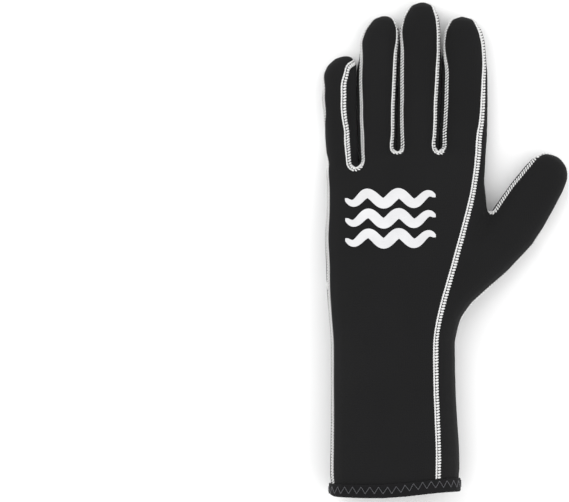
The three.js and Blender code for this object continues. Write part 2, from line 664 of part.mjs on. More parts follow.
// The materials: soft black knit over foam, and the binding's smoother black
const knit = new THREE.MeshStandardMaterial({ color: 0x1d1e20, roughness: 0.92, metalness: 0 });
const palm_knit = new THREE.MeshStandardMaterial({ color: 0x232327, roughness: 0.85, metalness: 0 });
const tape = new THREE.MeshStandardMaterial({ color: 0x17181a, roughness: 0.75, metalness: 0 });

const glove = new THREE.Group();
function add(name, made, material) {
  const mesh = largest(made.simplify(least_detail)).getMesh();
  const geometry = new THREE.BufferGeometry();
  geometry.setAttribute("position", new THREE.BufferAttribute(mesh.vertProperties, 3));
  geometry.setIndex(new THREE.BufferAttribute(mesh.triVerts, 1));
  const node = new THREE.Mesh(geometry, material);
  node.name = name;
  glove.add(node);
}
add("back_panel", back_panel, knit);
add("palm_panel", palm_panel, palm_knit);
add("wrist_panel", wrist_panel, knit);
add("little_side_wall", strips[0], knit);
add("little_ring_fourchette", strips[1], knit);
add("ring_middle_fourchette", strips[2], knit);
add("middle_index_fourchette", strips[3], knit);
add("thumb_side_panel", strips[4], knit);
add("cuff_binding", cuff_binding, tape);

// The frame's origin is under the middle of the glove's outline, on the surface that it lies on.
const bounds = new THREE.Box3().setFromObject(glove);
const centre = bounds.getCenter(new THREE.Vector3());
glove.position.set(-centre.x, -centre.y, -bounds.min.z);

export default glove;
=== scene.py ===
"""A long-cuffed diving glove of black neoprene, sewn with white thread, lying palm down on a pale floor."""

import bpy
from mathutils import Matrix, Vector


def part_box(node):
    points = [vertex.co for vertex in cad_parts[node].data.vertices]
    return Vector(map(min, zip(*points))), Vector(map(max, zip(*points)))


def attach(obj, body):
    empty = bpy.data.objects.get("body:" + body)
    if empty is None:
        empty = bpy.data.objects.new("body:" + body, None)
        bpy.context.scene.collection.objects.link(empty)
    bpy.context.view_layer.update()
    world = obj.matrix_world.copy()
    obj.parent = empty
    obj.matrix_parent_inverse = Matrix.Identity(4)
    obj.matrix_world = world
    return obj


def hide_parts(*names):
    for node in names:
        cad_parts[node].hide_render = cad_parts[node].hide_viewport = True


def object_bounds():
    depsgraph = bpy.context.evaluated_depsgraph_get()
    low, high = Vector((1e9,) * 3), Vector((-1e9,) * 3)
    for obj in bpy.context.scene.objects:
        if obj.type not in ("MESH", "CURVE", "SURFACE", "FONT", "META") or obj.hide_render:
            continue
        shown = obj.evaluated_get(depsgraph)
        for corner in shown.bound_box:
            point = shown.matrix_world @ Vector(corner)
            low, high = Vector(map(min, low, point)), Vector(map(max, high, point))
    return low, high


bl_info = {
    "name": "Diving glove",
    "version": (1, 0, 0),
    "blender": (4, 5, 0),
    "location": "View3D > Sidebar > Glove",
    "description": "Models the glove's panels, stitches, binding and prints around the packed frame",
    "category": "Object",
}

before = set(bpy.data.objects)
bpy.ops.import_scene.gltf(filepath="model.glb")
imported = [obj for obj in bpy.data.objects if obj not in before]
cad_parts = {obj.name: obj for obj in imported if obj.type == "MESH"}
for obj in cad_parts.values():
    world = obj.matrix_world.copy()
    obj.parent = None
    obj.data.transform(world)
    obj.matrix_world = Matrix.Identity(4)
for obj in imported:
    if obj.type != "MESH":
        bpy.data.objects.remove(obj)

import itertools
import math

import bmesh
import bpy
import numpy as np
from mathutils import Vector
from mathutils.bvhtree import BVHTree

MM = 0.001

PANELS = (
    "back_panel",
    "palm_panel",
    "wrist_panel",
    "little_side_wall",
    "little_ring_fourchette",
    "ring_middle_fourchette",
    "middle_index_fourchette",
    "thumb_side_panel",
)
FOURCHETTES = ("little_ring_fourchette", "ring_middle_fourchette", "middle_index_fourchette")
# The panels whose edges carry the seams' stitches, the uppermost first
STITCHED = ("back_panel", "palm_panel", "wrist_panel")

CAD_LOW, CAD_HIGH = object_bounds()
CUFF_LOW, CUFF_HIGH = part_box("cuff_binding")
MOUTH_RISE = 4.0 * MM
WELD = 1e-6
THUMB_TURN = math.radians(34.0)
THUMB_FROM = Vector((CAD_HIGH.x * 0.49, CAD_HIGH.y * 0.13, 0))
PHOTO_WIDTH = 357.0 * MM
CAMERA_PLACE = (-100.3 * MM, -0.75 * MM, 8.0)


def length(name, description, default):
    """A size in metres that a user may change, from its default in millimetres."""
    return bpy.props.FloatProperty(
        name=name, description=description, default=default * MM, min=0.0, unit="LENGTH", precision=5
    )


def colour(name, description, default):
    """A colour that a user may change."""
    return bpy.props.FloatVectorProperty(
        name=name, description=description, default=default, size=3, min=0.0, max=1.0, subtype="COLOR"
    )


class GloveSizes(bpy.types.PropertyGroup):
    """The sizes of the sheet, its seams and its prints."""

    grain: length("Grain", "Size of the faces that the panels are modelled with", 1.1)
    wall: length("Wall", "Thickness of the neoprene sheet", 2.9)
    spread: length("Spread", "How far two fingers are moved apart while the panels are made", 4.0)
    fairing: bpy.props.IntProperty(
        name="Fairing", description="Rounds of smoothing that even out the form", default=26
    )
    valley_depth: length("Valley depth", "How deep the sheet dips into a seam", 0.7)
    valley_width: length("Valley width", "How far from a seam the sheet starts to dip", 2.6)
    stitch_width: length("Stitch width", "Width of the white seam stitches", 3.8)
    stitch_pitch: length("Stitch pitch", "Distance from one seam stitch to the next", 1.8)
    thread: length("Thread", "Thickness of the white thread", 1.15)
    tip_dip: length("Tip dip", "How far the back's seam dips below a fingertip's edge", 5.5)
    rest_lift: length("Rest lift", "How far the palm's sheet lies above the floor, on its print", 0.35)
    zigzag_pitch: length("Zigzag pitch", "Distance between two points of the binding's zigzag", 5.4)
    zigzag_height: length("Zigzag height", "Height of the binding's zigzag", 4.2)
    zigzag_thread: length("Zigzag thread", "Thickness of the binding's black thread", 0.66)
    print_height: length("Print height", "How far a print stands proud of the sheet", 0.28)
    grip_width: length("Grip width", "Width of the lines of the palm's grip print", 1.1)
    grip_rows: length("Grip rows", "Distance between two rows of the grip print", 9.5)
    grip_marks: length("Grip marks", "Distance between two marks in a row of the grip print", 8.6)
    wave_length: length("Wave length", "Length of the motif's waves on the back", 19)
    wave_height: length("Wave height", "How far the motif's waves rise and fall", 3.1)
    wave_width: length("Wave width", "Width of the motif's bands", 6.4)
    wave_rows: length("Wave rows", "Distance between two of the motif's bands", 12.5)


class GloveColours(bpy.types.PropertyGroup):
    """The colours of the sheet, thread, tape and prints."""

    back_knit: colour("Back knit", "Black knit of the back, the walls and the wrist", (0.0068, 0.0068, 0.0071))
    palm_knit: colour("Palm knit", "Dark grey knit of the palm", (0.018, 0.018, 0.0215))
    tape: colour("Tape", "Black tape of the cuff's binding", (0.0060, 0.0060, 0.0065))
    thread: colour("Thread", "White thread of the seams", (0.66, 0.66, 0.655))
    black_thread: colour("Black thread", "Black thread of the binding's zigzag", (0.045, 0.045, 0.05))
    print_grey: colour("Print grey", "Light grey of the back's motif", (0.54, 0.54, 0.55))
    grip_grey: colour("Grip grey", "Worn grey of the palm's print", (0.405, 0.405, 0.4125))
    floor: colour("Floor", "Pale floor under the glove", (0.90, 0.90, 0.90))


# Work on meshes
def choose(piece):
    """Makes one object the only selected and the active one."""
    bpy.ops.object.select_all(action="DESELECT")
    piece.select_set(True)
    bpy.context.view_layer.objects.active = piece


def edit(piece, operator, **settings):
    """Runs a mesh operator on the whole of a piece."""
    choose(piece)
    bpy.ops.object.mode_set(mode="EDIT")
    bpy.ops.mesh.select_all(action="SELECT")
    operator(**settings)
    bpy.ops.object.mode_set(mode="OBJECT")


def finish_modifier(piece, kind, **settings):
    """Adds a modifier with its settings and applies it."""
    choose(piece)
    modifier = piece.modifiers.new(kind.title(), kind)
    for name, value in settings.items():
        setattr(modifier, name, value)
    bpy.ops.object.modifier_apply(modifier=modifier.name)


def new_object(name, mesh):
    """A new object in the scene that holds a mesh."""
    piece = bpy.data.objects.new(name, mesh)
    bpy.context.scene.collection.objects.link(piece)
    return piece


def mesh_from(name, points, faces):
    """A new object from points and faces."""
    mesh = bpy.data.meshes.new(name)
    mesh.from_pydata([tuple(p) for p in points], [], [tuple(f) for f in faces])
    mesh.validate()
    return new_object(name, mesh)


def read(elements, name, width, kind=float):
    """A row of values for each element of a mesh, as an array."""
    flat = np.empty(len(elements) * width, dtype=kind)
    elements.foreach_get(name, flat)
    return flat.reshape(-1, width)


def points_of(piece):
    """The vertices of an object's mesh."""
    return read(piece.data.vertices, "co", 3)


def normals_of(piece):
    """The vertex normals of an object's mesh."""
    return read(piece.data.vertex_normals, "vector", 3)


def edges_of(piece):
    """The edges of an object's mesh as pairs of vertex numbers."""
    return read(piece.data.edges, "vertices", 2, np.int64)


def faces_of(piece):
    """The faces of an object's mesh as tuples of vertex numbers."""
    return [tuple(face.vertices) for face in piece.data.polygons]


def set_points(piece, points):
    """Moves the vertices of an object's mesh."""
    piece.data.vertices.foreach_set("co", points.astype(np.float32).ravel())
    piece.data.update()


def press_flat(piece, floor=0.03 * MM):
    """Keeps a piece above the floor that it is pressed against."""
    points = points_of(piece)
    points[:, 2] = np.maximum(points[:, 2], floor)
    set_points(piece, points)


def smooth_values(values, edges, rounds):
    """Evens out one value per vertex over its neighbours, some rounds."""
    count = np.bincount(edges.ravel(), minlength=len(values))
    a, b = edges.T
    for _ in range(rounds):
        near = np.bincount(a, values[b], len(values)) + np.bincount(b, values[a], len(values))
        values = 0.4 * values + 0.6 * near / np.maximum(count, 1)
    return values


def ease(value, low, high):
    """0 below low, 1 above high and a smooth rise between."""
    t = np.clip((value - low) / (high - low), 0.0, 1.0)
    return t * t * (3.0 - 2.0 * t)


def tree_of(points, faces):
    """A search tree over points and faces."""
    return BVHTree.FromPolygons([Vector(p) for p in points], faces)


def distances(tree, points):
    """How far each point lies from a search tree's faces."""
    return np.array([tree.find_nearest(Vector(p))[3] for p in points])


def piece_tree(piece):
    """A search tree over an object's mesh."""
    return tree_of(points_of(piece), faces_of(piece))


def line_tree(paths):
    """A search tree over the lines of some paths, as faces without a width."""
    points, faces = [], []
    for path in paths:
        first = len(points)
        points += list(path)
        faces += [(i, i + 1, i) for i in range(first, len(points) - 1)]
    return tree_of(points, faces)


# Fanned fingers: neighbouring fingers nearly touch, so they are moved apart while the seams are made
class FingerGap:
    """The narrow gap between two fingers, read from the strip that lines it."""

    def __init__(self, node):
        self.low, self.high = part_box(node)
        self.tree = piece_tree(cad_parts[node])
        samples = []
        for y in np.arange(self.high.y - 12 * MM, self.low.y, -1.0 * MM):
            faces = self.crossed(y)
            if len(faces) == 4:
                samples.append((y, (faces[1] + faces[2]) / 2))
            elif len(samples) > 10:
                break
        samples = np.array(samples)
        self.line = np.polyfit(samples[:, 0], samples[:, 1], 2)
        self.start = samples[-1, 0]

    def crossed(self, y):
        """Where a level line across the strip meets its faces."""
        start = Vector((self.low.x - MM, y, (self.low.z + self.high.z) / 2))
        found = []
        while len(found) < 6:
            hit = self.tree.ray_cast(start, Vector((1, 0, 0)))[0]
            if hit is None:
                break
            found.append(hit.x)
            start = hit + Vector((0.01 * MM, 0, 0))
        return found

    def at(self, y):
        """The gap's place across the hand."""
        return np.polyval(self.line, y)

    def half_opening(self, y, spread):
        """How far each side of the gap moves while the fingers are fanned."""
        return spread / 2 * ease(y, self.start - 5 * MM, self.start + FAN_REACH)


FAN_REACH = 12 * MM
GAPS = [FingerGap(node) for node in FOURCHETTES]
GAP_SOFTNESS = 0.3 * MM
# Each fingertip on the fanned fingers in mm: left and right side, where the upper seams start to climb
# and are up, and how much the skin's normal rises where the right one runs
FINGER_TIPS = ((-56, -34, 118, 132, 0.2), (-34, -10, 124, 138, 0.25), (-10, 40, 112, 126, 0.45))

# The seam of the little side: places along the hand in mm, and how much the skin's normal rises there
LITTLE_SIDE = (-40, -10, 50, 63, 72, 86, 102, 114), (0.36, 0.47, 0.47, -0.22, -0.22, 0.42, 0.42, -0.4)


def fan_out(points, spread):
    """Moves the fingers apart."""
    moved = points.copy()
    y = points[:, 1]
    for gap in GAPS:
        side = np.clip((points[:, 0] - gap.at(y)) / GAP_SOFTNESS, -1, 1)
        moved[:, 0] += gap.half_opening(y, spread) * side
    return moved


def fan_in(points, spread):
    """Moves the fanned fingers back."""
    moved = points.copy()
    y = points[:, 1]
    halves = [gap.half_opening(y, spread) for gap in GAPS]
    for i, gap in enumerate(GAPS):
        place = gap.at(y) + sum(halves[:i]) - sum(halves[i + 1 :])
        moved[:, 0] -= halves[i] * np.clip((points[:, 0] - place) / (GAP_SOFTNESS + halves[i]), -1, 1)
    return moved


# How far the seams beside each gap lie from the frame's, in mm: gap, offset from its line, and shifts at
# its web, middle and tip
GAP_SHIFTS = (
    (0, -8.5, -1.0, 0.3, 0.0),
    (0, 6.5, -1.9, -1.8, 0.0),
    (1, -5.8, -1.2, -1.0, -0.3),
    (1, 5.8, -1.9, -1.0, -1.0),
    (2, -6.2, -1.6, -0.6, 0.4),
    (2, 6.2, -2.4, -0.5, -0.4),
)
# Where the walls of each gap part at the fingertips
GAP_ENDS = (116 * MM, 139 * MM, 123 * MM)


def settle(points):
    """Leans the finger gaps a little towards the little finger; the hand's outer edges stay."""
    y = points[:, 1]
    lines, shifts = [CAD_LOW.x + 0 * y], [0 * y]
    for number, offset, web, middle, tip in GAP_SHIFTS:
        gap = GAPS[number]
        share = (y - gap.start) / (CAD_HIGH.y - gap.start)
        shift = np.interp(share, [0.0, 0.5, 1.0], [web, middle, tip]) * MM
        lines.append(gap.at(np.maximum(y, gap.start)) + offset * MM)
        shifts.append(shift * ease(y, gap.start - 34 * MM, gap.start - 2 * MM))
    lines.append(25 * MM + 0 * y)
    shifts.append(0 * y)
    moved = points.copy()
    for k in range(len(lines) - 1):
        share = np.clip((points[:, 0] - lines[k]) / (lines[k + 1] - lines[k]), 0, 1)
        moved[:, 0] += (shifts[k + 1] - shifts[k]) * share
    return moved


def fill_gaps(points, from_seam):
    """Lets the walls between two fingers swell until they touch, away from their seams."""
    y = points[:, 1]
    moved = points.copy()
    for gap, end in zip(GAPS, GAP_ENDS):
        away = points[:, 0] - gap.at(y)
        near = (1 - ease(np.abs(away), 2.2 * MM, 4.5 * MM)) * ease(from_seam, 1.0 * MM, 3.5 * MM)
        near *= 1 - ease(y, end - 4 * MM, end + 4 * MM)
        wanted = np.sign(away) * np.minimum(np.abs(away), 0.12 * MM)
        moved[:, 0] += near * (wanted - away)
    return moved


def fanned_node(node, spread):
    """A frame node's points and faces with the fingers apart, cut finely where they part."""
    mesh = bmesh.new()
    mesh.from_mesh(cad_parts[node].data)
    bmesh.ops.remove_doubles(mesh, verts=mesh.verts, dist=WELD)
    first = min(gap.start for gap in GAPS) - 6 * MM
    last = max(gap.start for gap in GAPS) + FAN_REACH + 2 * MM
    for y in np.arange(first, last, 2 * MM):
        whole = list(mesh.verts) + list(mesh.edges) + list(mesh.faces)
        bmesh.ops.bisect_plane(mesh, geom=whole, plane_co=(0, y, 0), plane_no=(0, 1, 0))
    bmesh.ops.triangulate(mesh, faces=mesh.faces)
    mesh.verts.index_update()
    points = fan_out(np.array([v.co[:] for v in mesh.verts]), spread)
    faces = [tuple(v.index for v in face.verts) for face in mesh.faces]
    mesh.free()
    return points, faces


def close_fingers(piece, spread):
    """Brings a piece that was made on the fanned fingers to its real place."""
    set_points(piece, settle(fan_in(points_of(piece), spread)))


def mouth_rise(x):
    """How far the cuff's edge curves up towards the thumb's side."""
    return MOUTH_RISE * (x - CUFF_LOW.x) / (CUFF_HIGH.x - CUFF_LOW.x)


# The glove's form as one smooth skin
class Skin:
    """The glove's outer surface on the fanned fingers, with its distances to the frame's panels."""

    def __init__(self, sizes):
        self.sizes = sizes
        self.trees = []
        points, faces = [], []
        for node in PANELS:
            moved, own_faces = fanned_node(node, sizes.spread)
            self.trees.append(tree_of(moved, own_faces))
            faces += [tuple(v + len(points) for v in f) for f in own_faces]
            points += list(moved)
        self.piece = mesh_from("skin", points, faces)
        self.fuse()
        fair(self.piece, tree_of(points, faces), sizes.fairing)
        press_flat(self.piece, sizes.rest_lift)
        self.measure()
        self.faces = faces_of(self.piece)
        self.tree = piece_tree(self.piece)
        normals = normals_of(self.piece)
        self.face_normals = unit(np.array([normals[list(face)].mean(axis=0) for face in self.faces]))

    @staticmethod
    def plug():
        """A block that closes the cuff's mouth, so that the hollow inside parts from the outside."""
        middle = (CUFF_LOW + CUFF_HIGH) / 2
        half = (CUFF_HIGH - CUFF_LOW) / 2 - Vector((1, 1, 1)) * 2.2 * MM
        bpy.ops.mesh.primitive_cylinder_add(vertices=48, radius=1.0, depth=1.0)
        block = bpy.context.active_object
        for v in block.data.vertices:
            x = middle.x + v.co.x * half.x
            y = CUFF_LOW.y + mouth_rise(x) + 2.6 * MM + v.co.z * 4.4 * MM
            v.co = (x, y, middle.z + v.co.y * half.z)
        return block

    def fuse(self):
        """Fuses the panels, closes their seams and keeps the outer surface alone."""
        edit(self.piece, bpy.ops.mesh.remove_doubles, threshold=WELD)
        finish_modifier(self.piece, "DISPLACE", strength=0.35 * MM, mid_level=0.0)
        block = self.plug()
        choose(self.piece)
        block.select_set(True)
        bpy.ops.object.join()
        finish_modifier(self.piece, "REMESH", mode="VOXEL", voxel_size=self.sizes.grain)
        cut_at = Vector((CUFF_LOW.x, CUFF_LOW.y + 5.2 * MM, 0))
        level = Vector((-MOUTH_RISE / (CUFF_HIGH.x - CUFF_LOW.x), 1, 0)).normalized()
        edit(self.piece, bpy.ops.mesh.bisect, plane_co=cut_at, plane_no=level, clear_inner=True)
        keep_largest(self.piece)

    def measure(self):
        """Works out how far each vertex lies from each of the frame's panels."""
        points, normals = points_of(self.piece), normals_of(self.piece)
        edges = edges_of(self.piece)
        self.far = np.array([smooth_values(distances(tree, points), edges, 2) for tree in self.trees])
        self.dip_under_tips(points, normals)
        self.seams_at_the_edge(points, normals)
        ordered = np.sort(self.far, axis=0)
        self.from_seam = ordered[1] - ordered[0]
        self.own = np.argmin(self.far, axis=0)

    def seams_at_the_edge(self, points, normals):
        """Puts the seams of the little side and the thumb on the glove's outline from above."""
        x, y = points[:, 0] / MM, points[:, 1] / MM
        # The little side
        level = np.interp(y, *LITTLE_SIDE)
        where = (1 - ease(x, -66, -58)) * (1 - ease(y, 106, 112))
        self.edge_seam("back_panel", -normals[:, 0], level, where, normals)
        # The thumb's inner side
        flank = normals[:, 1] * math.sin(THUMB_TURN) - normals[:, 0] * math.cos(THUMB_TURN)
        where = ease(x, 24, 29) * ease(y, 12, 18) * (1 - ease(x, 50, 70))
        self.edge_seam("thumb_side_panel", flank, 0.5, where, normals)
        # The thumb's base
        flank = 0.58 * normals[:, 0] - 0.815 * normals[:, 1]
        where = ease(x, -6, 20) * (1 - ease(x, 28, 54)) * ease(y, -60, -30) * (1 - ease(y, -20, 4))
        self.edge_seam("thumb_side_panel", flank, 0.05, where, normals)
        for left, right, first, last, rise in FINGER_TIPS:
            where = ease(x, left - 2, left + 1) * (1 - ease(x, right - 1, right + 2)) * ease(y, first, last)
            self.edge_seam("back_panel", normals[:, 0], rise, where, normals)
            self.edge_seam("back_panel", -normals[:, 0], 0.25, where, normals)
        # The little finger's inner side, near its tip
        where = ease(x, -74, -68) * (1 - ease(x, -58, -55)) * ease(y, 92, 112)
        self.far[PANELS.index("back_panel")] += 2.8 * MM * where * ease(normals[:, 0], 0.0, 0.3)

    def edge_seam(self, panel, flank, level, where, normals):
        """Moves an upper panel's seam along one flank to where the skin's normal rises by a level."""
        row = PANELS.index(panel)
        others = np.min(np.delete(self.far, row, axis=0), axis=0)
        wanted = others + 9 * MM * (level - normals[:, 2])
        below = ease(-normals[:, 2], 0.0, 0.15) * ease(flank, 0.3, 0.55)
        share = where * np.maximum(ease(flank, 0.5, 0.8), below)
        self.far[row] += share * (wanted - self.far[row])

    def dip_under_tips(self, points, normals):
        """Lets the upper panels reach a little way round under the fingertips and the thumb's tip."""
        x, y, _ = points.T
        thumb = x > THUMB_FROM.x
        along_thumb = normals[:, 0] * math.sin(THUMB_TURN) + normals[:, 1] * math.cos(THUMB_TURN)
        forward = np.where(thumb, along_thumb, normals[:, 1])
        at_tip = (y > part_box("little_side_wall")[1].y - 20 * MM) | (thumb & (y > THUMB_FROM.y))
        reach = self.sizes.tip_dip * ease(forward, 0.25, 0.75) * at_tip
        self.far[PANELS.index("back_panel")] -= np.where(thumb, 0.0, reach)
        self.far[PANELS.index("thumb_side_panel")] -= np.where(thumb, reach, 0.0)

    def holds(self, node, hit):
        """True if a ray's hit lies well inside a panel, where the panel isn't steep."""
        place, normal, face, _ = hit
        if place is None or abs(normal.z) < 0.6:
            return False
        vertex = self.faces[face][0]
        return PANELS[self.own[vertex]] == node and self.from_seam[vertex] > 3.2 * MM

    def nearest(self, points):
        """The skin's nearest places to some points, and its smooth normals and panels there."""
        found = [self.tree.find_nearest(Vector(p)) for p in points]
        faces = [face for _, _, face, _ in found]
        panels = self.own[[self.faces[face][0] for face in faces]]
        return np.array([place for place, *_ in found]), self.face_normals[faces], panels


def fair(piece, tree, rounds):
    """Smooths a form's facets away, then brings it back to where the frame has it."""
    finish_modifier(piece, "SMOOTH", factor=0.5, iterations=rounds)
    edges = edges_of(piece)
    for _ in range(2):
        points, normals = points_of(piece), normals_of(piece)
        away = np.zeros(len(points))
        for i, p in enumerate(points):
            hit, normal, _, distance = tree.find_nearest(Vector(p))
            away[i] = math.copysign(distance, (Vector(p) - hit).dot(normal))
        away = np.clip(away, -2 * MM, 2 * MM)
        x, y, _ = points.T
        broad = np.maximum(ease(x, 28 * MM, 36 * MM), 1 - ease(y, 15 * MM, 35 * MM))
        fine = smooth_values(away, edges, 40)
        away = fine + (smooth_values(fine, edges, 160) - fine) * broad
        set_points(piece, points - normals * away[:, None])


def keep_largest(piece):
    """Keeps the part of a mesh that has the most faces."""
    mesh = bmesh.new()
    mesh.from_mesh(piece.data)
    left, parts = set(mesh.faces), []
    for start in mesh.faces:
        if start not in left:
            continue
        left.discard(start)
        part, queue = [], [start]
        while queue:
            face = queue.pop()
            part.append(face)
            beside = {other for edge in face.edges for other in edge.link_faces} & left
            left -= beside
            queue += beside
        parts.append(part)
    parts.sort(key=len, reverse=True)
    for part in parts[1:]:
        bmesh.ops.delete(mesh, geom=part, context="FACES")
    mesh.to_mesh(piece.data)
    mesh.free()


def split_panel(skin, number):
    """One panel of the skin as an open sheet, cut along the middle of its seams."""
    piece = new_object(PANELS[number] + "_sheet", skin.piece.data.copy())
    others = np.min(np.delete(skin.far, number, axis=0), axis=0)
    share = 0.5 + np.clip((others - skin.far[number]) / (8 * MM), -0.5, 0.5)
    group = piece.vertex_groups.new(name="panel")
    for i, weight in enumerate(share):
        group.add([i], float(weight), "REPLACE")
    finish_modifier(piece, "MASK", vertex_group="panel", use_smooth=True, threshold=0.5)
    piece.vertex_groups.clear()
    keep_largest(piece)
    return piece


def thicken(piece, skin, wall):
    """Gives an open sheet its thickness, inwards along the skin's own smooth normals."""
    points, faces = points_of(piece), faces_of(piece)
    inner = points - skin.nearest(points)[1] * wall
    count = len(points)
    sides = {(a, b) for face in faces for a, b in zip(face, face[1:] + face[:1])}
    rim = [(b, a, a + count, b + count) for a, b in sides if (b, a) not in sides]
    lining = [tuple(v + count for v in reversed(face)) for face in faces]
    name = piece.name
    bpy.data.objects.remove(piece)
    return mesh_from(name, np.vstack([points, inner]), faces + lining + rim)


def open_edges(piece):
    """The loop of points round a sheet's longest open edge."""
    mesh = bmesh.new()
    mesh.from_mesh(piece.data)
    edges = [e for e in mesh.edges if e.is_boundary]
    left = set(edges)
    loops = []
    for edge in edges:
        if edge not in left:
            continue
        left.discard(edge)
        chain = [edge.verts[0], edge.verts[1]]
        while True:
            following = [e for e in chain[-1].link_edges if e in left]
            if not following:
                break
            left.discard(following[0])
            chain.append(following[0].other_vert(chain[-1]))
        loops.append(np.array([v.co[:] for v in chain]))
    mesh.free()
    return max(loops, key=len)


def walked(path):
    """How far along a path each of its points lies."""
    return np.concatenate([[0.0], np.cumsum(np.linalg.norm(np.diff(path, axis=0), axis=1))])


def resampled(path, step):
    """A path through points that are evenly spaced."""
    along = walked(path)
    count = max(int(round(along[-1] / step)), 2)
    even = np.linspace(0, along[-1], count + 1)
    return np.stack([np.interp(even, along, path[:, k]) for k in range(3)], axis=1)


def smooth_path(path, rounds):
    """Evens out a path's points; its ends stay."""
    for _ in range(rounds):
        path = path.copy()
        path[1:-1] = 0.5 * path[1:-1] + 0.25 * (path[:-2] + path[2:])
    return path


def unit(rows):
    """Rows of a length of one."""
    return rows / np.maximum(np.linalg.norm(rows, axis=-1, keepdims=True), 1e-12)


# The seams
def seam_runs(sheets):
    """The paths of all seams on the fanned skin: each panel's edge, less what an earlier one's gave."""
    runs, earlier = [], []
    low = CUFF_LOW
    for node in STITCHED:
        path = smooth_path(resampled(open_edges(sheets[node]), 0.5 * MM), 12)
        if node == "back_panel":
            x, y, _ = path.T
            beside = ease(x, 12 * MM, 17 * MM) * (1 - ease(y, 95 * MM, 115 * MM))
            calm = np.maximum(1 - ease(y, 20 * MM, 45 * MM), beside)
            calm *= ease(y, low.y + 22 * MM, low.y + 34 * MM)
            path = path + (smooth_path(path, 300) - path) * calm[:, None]
        keep = path[:, 1] > low.y + mouth_rise(path[:, 0]) + 9.3 * MM
        for tree in earlier:
            keep &= distances(tree, path) > 1.6 * MM
        start = int(np.argmin(keep))
        path, keep = np.roll(path[:-1], -start, axis=0), np.roll(keep[:-1], -start)
        steps = np.flatnonzero(np.diff(np.concatenate([[0], keep.astype(int), [0]])))
        runs += [(node, path[a:b]) for a, b in zip(steps[::2], steps[1::2]) if b - a > 16]
        earlier.append(line_tree([path]))
    return runs


class SeamLine:
    """One seam's stitch places, with their directions along the seam, out of the sheet and across."""

    def __init__(self, skin, node, path, pitch):
        self.places, normals, _ = skin.nearest(smooth_path(resampled(path, pitch), 1))
        self.normals = unit(smooth_path(normals, 3))
        along = np.gradient(self.places, axis=0)
        self.along = unit(along - self.normals * np.sum(along * self.normals, axis=1, keepdims=True))
        self.across = unit(np.cross(self.along, self.normals))
        panels = skin.nearest(self.places + self.across * 2 * MM)[2]
        if np.mean(panels == PANELS.index(node)) > 0.5:
            self.across = -self.across
        self.rope = self.looks_like_rope(node)

    def looks_like_rope(self, node):
        """True where both of the seam's edges show a cord, False where one side shows teeth."""
        x, y, z = self.places.T
        sideways = self.across[:, 0]
        if node != "back_panel":
            return (x > 22 * MM) & (x < 62 * MM) & (y > 10 * MM) & (z > 8 * MM) & (sideways < 0.6)
        on_fingers = y > min(gap.start for gap in GAPS) - 8 * MM
        little_side = x < CAD_LOW.x + 18 * MM
        return (on_fingers | little_side) & (sideways < 0.25)


def bead():
    """A small six-sided bead, 2 long and 2 thick, as points and faces."""
    bpy.ops.mesh.primitive_uv_sphere_add(segments=6, ring_count=5, radius=1.0)
    piece = bpy.context.active_object
    points = points_of(piece)[:, [2, 1, 0]]
    faces = [face[::-1] for face in faces_of(piece)]
    bpy.data.objects.remove(piece)
    return points, faces


class Threads:
    """Many short stretches of thread that become one piece."""

    def __init__(self):
        self.points, self.faces = bead()
        self.rows = []

    def add(self, centre, along, up, half_length, radius, sag=0.0):
        """Stretches of thread: middles, directions, half lengths, radii and how far their ends dip."""
        side = np.cross(up, along)
        t, v, w = self.points.T
        t = np.sign(t) * np.abs(t) ** 0.8
        half, radius, sag = (
            np.broadcast_to(size, len(centre))[:, None, None] for size in (half_length, radius, sag)
        )
        self.rows.append(
            centre[:, None]
            + along[:, None] * half * t[None, :, None]
            + side[:, None] * radius * v[None, :, None]
            + up[:, None] * (radius * w[None, :, None] - sag * t[None, :, None] ** 2)
        )

    def piece(self, name):
        """One object of all the stretches."""
        rows = np.concatenate(self.rows)
        size = len(self.points)
        faces = [tuple(v + k * size for v in f) for k in range(len(rows)) for f in self.faces]
        return mesh_from(name, rows.reshape(-1, 3), faces)


def sew(threads, line, sizes, seed):
    """Lays one seam's stitches: a cord of slanted grains, and teeth or a second cord beside it."""
    chance = np.random.default_rng(seed)
    half, thick, pitch = sizes.stitch_width / 2, sizes.thread / 2, sizes.stitch_pitch
    along, across, up = line.along, line.across, line.normals
    jitter = chance.uniform(-1, 1, (len(line.places), 4))
    base = line.places + up * 0.02 * MM
    rope, teeth = line.rope, ~line.rope
    narrow = np.where(rope, 0.80, 1.0)[:, None]

    def at(offset_across, offset_along=0.0, lift=0.0):
        """Places beside the seam's line, along it and above it."""
        return base + across * offset_across * narrow + along * offset_along + up * lift

    slant = unit(along + across * (np.where(rope, 0.8, 0.2)[:, None] + 0.05 * jitter[:, :1]))
    girth = thick * (np.where(rope, 0.95, 1.04) + 0.05 * jitter[:, 0])
    threads.add(at(-half + thick), slant, up, pitch * np.where(rope, 0.54, 0.66), girth, 0.2 * MM)
    if rope.any():
        lean = unit(along + across * (0.8 + 0.05 * jitter[:, 1:2]))
        centre = at(half - thick, pitch * 0.5)
        threads.add(centre[rope], lean[rope], up[rope], pitch * 0.54, thick * 0.95, 0.2 * MM)
        cross = unit(across + along * 0.9)
        centre = at(0.0, pitch * 0.25, -0.1 * MM)
        threads.add(centre[rope], cross[rope], up[rope], half * 0.6, thick * 0.55, 0.1 * MM)
    if teeth.any():
        point = unit(across + along * (0.3 + 0.1 * jitter[:, 2:3]))
        centre = at(0.34 * half, 0.0, 0.02 * MM)
        reach = half * (0.68 + 0.07 * jitter[:, 3])
        threads.add(centre[teeth], point[teeth], up[teeth], reach[teeth], thick * 1.28, 0.35 * MM)


